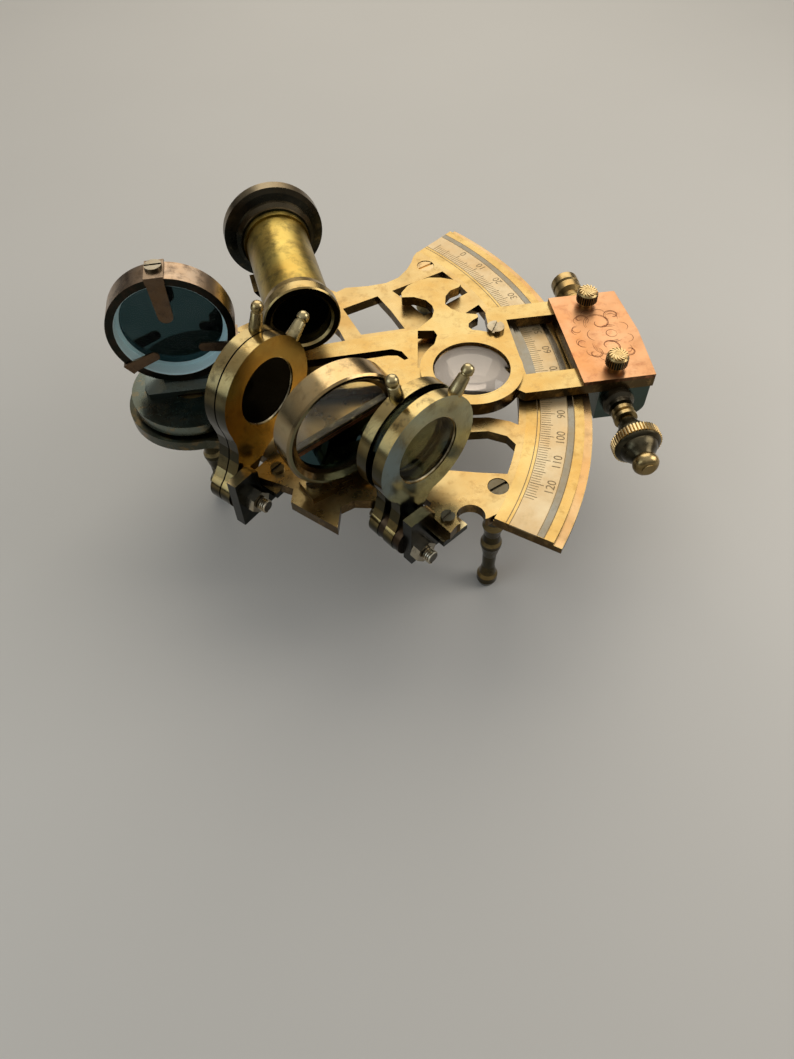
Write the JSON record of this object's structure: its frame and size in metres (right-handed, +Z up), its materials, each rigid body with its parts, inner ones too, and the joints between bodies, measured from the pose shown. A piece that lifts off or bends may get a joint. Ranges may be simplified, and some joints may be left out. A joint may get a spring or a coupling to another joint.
{
  "type": "sextant",
  "caption": "Small brass sextant on three turned legs: frame with graduated arc, swinging index arm with reading lens and tangent screw, telescope, two mirrors and two pairs of tilting shades",
  "frame": {"origin": "centre of the apex leg's foot, on the plane the three legs rest on, under the index arm's pivot", "axes": "+Z up, square to the frame; +X from the pivot along the index arm to the middle of the graduated arc; +Y to the telescope's side"},
  "size_m": [0.1219, 0.1126, 0.07],
  "materials": {
    "brass": "satin, aged",
    "bronze": "dark, aged",
    "olive_bronze": "dark olive, aged",
    "copper": "satin, reddish",
    "ivory_metal": "matt, with a dark scale",
    "silver_metal": "satin",
    "steel": "satin",
    "red_bronze": "dark reddish, aged",
    "black_metal": "satin black",
    "mirror": "silvered",
    "clear_glass": "clear",
    "shade_glass": "dark smoke"
  },
  "bodies": {
    "frame": {"frame_plate": "brass", "scale_arc": "brass", "scale_strip": "ivory_metal", "leg_near": "bronze", "leg_far": "bronze", "leg_apex": "bronze", "leg_screws": "steel", "pivot_axle": "brass", "pivot_washer": "brass", "scope_barrel": "olive_bronze", "scope_objective_ring": "olive_bronze", "scope_eye_cup": "black_metal", "scope_objective_lens": "clear_glass", "scope_eye_lens": "clear_glass", "scope_cradle": "brass", "cradle_screws": "steel", "horizon_foot": "brass", "horizon_ring": "brass", "horizon_clear_glass": "clear_glass", "horizon_silvered_glass": "mirror", "horizon_screws": "steel", "index_shade_bracket": "bronze", "horizon_shade_bracket": "bronze", "index_shade_bolt": "steel", "horizon_shade_bolt": "steel", "shade_nuts": "steel", "shade_washers": "brass", "bracket_screws": "steel"},
    "arm": {"index_arm": "brass", "magnifier_lens": "clear_glass", "vernier_plate": "silver_metal", "vernier_screw": "steel", "index_mirror_foot": "bronze", "index_mirror_ring": "red_bronze", "index_mirror_glass": "mirror", "mirror_clips": "brass", "clip_screws": "steel", "clamp_block": "bronze", "cover_plate": "copper", "spindle_bushes": "silver_metal"},
    "tangent_screw": {"tangent_spindle": "brass", "near_knob": "bronze", "far_knob": "bronze"},
    "thumb_screw_near": {"thumb_screw_near": "brass"},
    "thumb_screw_far": {"thumb_screw_far": "brass"},
    "index_shade_front": {"index_shade_front": "olive_bronze", "index_glass_front": "shade_glass", "index_pin_front": "olive_bronze"},
    "index_shade_back": {"index_shade_back": "olive_bronze", "index_glass_back": "shade_glass", "index_pin_back": "olive_bronze"},
    "horizon_shade_front": {"horizon_shade_front": "olive_bronze", "horizon_glass_front": "shade_glass", "horizon_pin_front": "olive_bronze"},
    "horizon_shade_back": {"horizon_shade_back": "olive_bronze", "horizon_glass_back": "shade_glass", "horizon_pin_back": "olive_bronze"}
  },
  "joints": [
    {"name": "arm_swing", "type": "hinge", "parent": "frame", "child": "arm", "pos_m": [0, 0, 0.038], "axis": [0, 0, 1], "range_deg": [-14, 24]},
    {"name": "tangent_turn", "type": "hinge", "parent": "arm", "child": "tangent_screw", "pos_m": [0.0974, 0, 0.0339], "axis": [0, 1, 0], "continuous": true},
    {"name": "thumb_turn_near", "type": "hinge", "parent": "arm", "child": "thumb_screw_near", "pos_m": [0.097, -0.0118, 0.04], "axis": [0, 0, 1], "continuous": true},
    {"name": "thumb_turn_far", "type": "hinge", "parent": "arm", "child": "thumb_screw_far", "pos_m": [0.097, 0.0118, 0.04], "axis": [0, 0, 1], "continuous": true},
    {"name": "index_shade_front_tilt", "type": "hinge", "parent": "frame", "child": "index_shade_front", "pos_m": [0.00929, -0.02803, 0.03227], "axis": [0.7009, -0.7133, 0], "range_deg": [0, 85]},
    {"name": "index_shade_back_tilt", "type": "hinge", "parent": "frame", "child": "index_shade_back", "pos_m": [0.00929, -0.02803, 0.03227], "axis": [0.7009, -0.7133, 0], "range_deg": [0, 85]},
    {"name": "horizon_shade_front_tilt", "type": "hinge", "parent": "frame", "child": "horizon_shade_front", "pos_m": [0.04271, -0.04453, 0.03107], "axis": [0.5592, -0.829, 0], "range_deg": [0, 85]},
    {"name": "horizon_shade_back_tilt", "type": "hinge", "parent": "frame", "child": "horizon_shade_back", "pos_m": [0.04271, -0.04453, 0.03107], "axis": [0.5592, -0.829, 0], "range_deg": [0, 85]}
  ]
}
